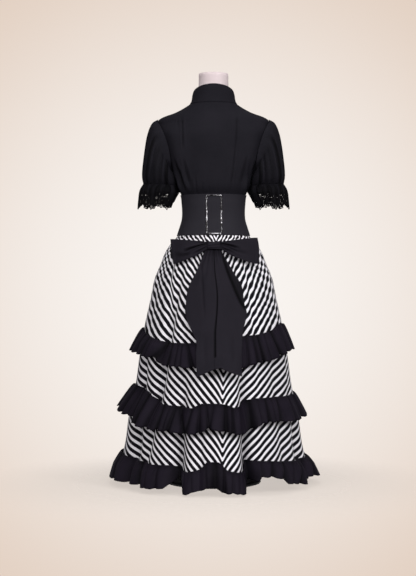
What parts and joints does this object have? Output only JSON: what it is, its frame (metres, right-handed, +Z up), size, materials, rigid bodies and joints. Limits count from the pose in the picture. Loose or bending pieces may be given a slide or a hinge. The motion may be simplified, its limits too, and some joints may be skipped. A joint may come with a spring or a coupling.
{
  "type": "corset dress on limbless dress form",
  "caption": "Ankle-length corset dress with high collar, puff sleeves, wide corset waist, striped ruffled skirt and big back bow, standing on a limbless dress form.",
  "frame": {"origin": "centre of the dress form's round base, on the floor", "axes": "+Z up the form's pole; the dress's back, with its bow, faces -Y and its front +Y; +X is the wearer's right-hand side seen from behind"},
  "size_m": [0.7489, 0.7332, 1.47],
  "materials": {
    "bodice_cloth": "matt black crepe",
    "lace": "black openwork lace",
    "corset_cloth": "smooth charcoal satin-backed cloth",
    "frame_gloss": "glossy black patent piping",
    "stripe_cloth": "black and white diagonal stripes, plain weave",
    "ruffle_cloth": "black gathered cotton",
    "bow_cloth": "black twill, faint sheen",
    "form_linen": "pale pinkish grey jersey",
    "form_metal": "satin dark grey"
  },
  "bodies": {
    "root": {"bodice_back_centre": "bodice_cloth", "bodice_back_left": "bodice_cloth", "bodice_back_right": "bodice_cloth", "bodice_front_left": "bodice_cloth", "bodice_front_right": "bodice_cloth", "placket": "bodice_cloth", "collar": "bodice_cloth", "sleeve_left": "bodice_cloth", "sleeve_right": "bodice_cloth", "sleeve_ruffle_left": "bodice_cloth", "sleeve_ruffle_right": "bodice_cloth", "sleeve_lace_back_left": "lace", "sleeve_lace_back_right": "lace", "sleeve_lace_front_left": "lace", "sleeve_lace_front_right": "lace", "corset_left": "corset_cloth", "corset_right": "corset_cloth", "corset_back_panel": "corset_cloth", "corset_frame": "frame_gloss", "skirt_back_left": "stripe_cloth", "skirt_back_right": "stripe_cloth", "skirt_front_left": "stripe_cloth", "skirt_front_right": "stripe_cloth", "ruffle_upper": "ruffle_cloth", "ruffle_middle": "ruffle_cloth", "ruffle_hem": "ruffle_cloth", "bow_loop_left": "bow_cloth", "bow_loop_right": "bow_cloth", "bow_knot": "bow_cloth", "bow_tail_left": "bow_cloth", "bow_tail_right": "bow_cloth", "form_torso": "form_linen", "form_pole": "form_metal", "form_base": "form_metal"}
  },
  "joints": []
}
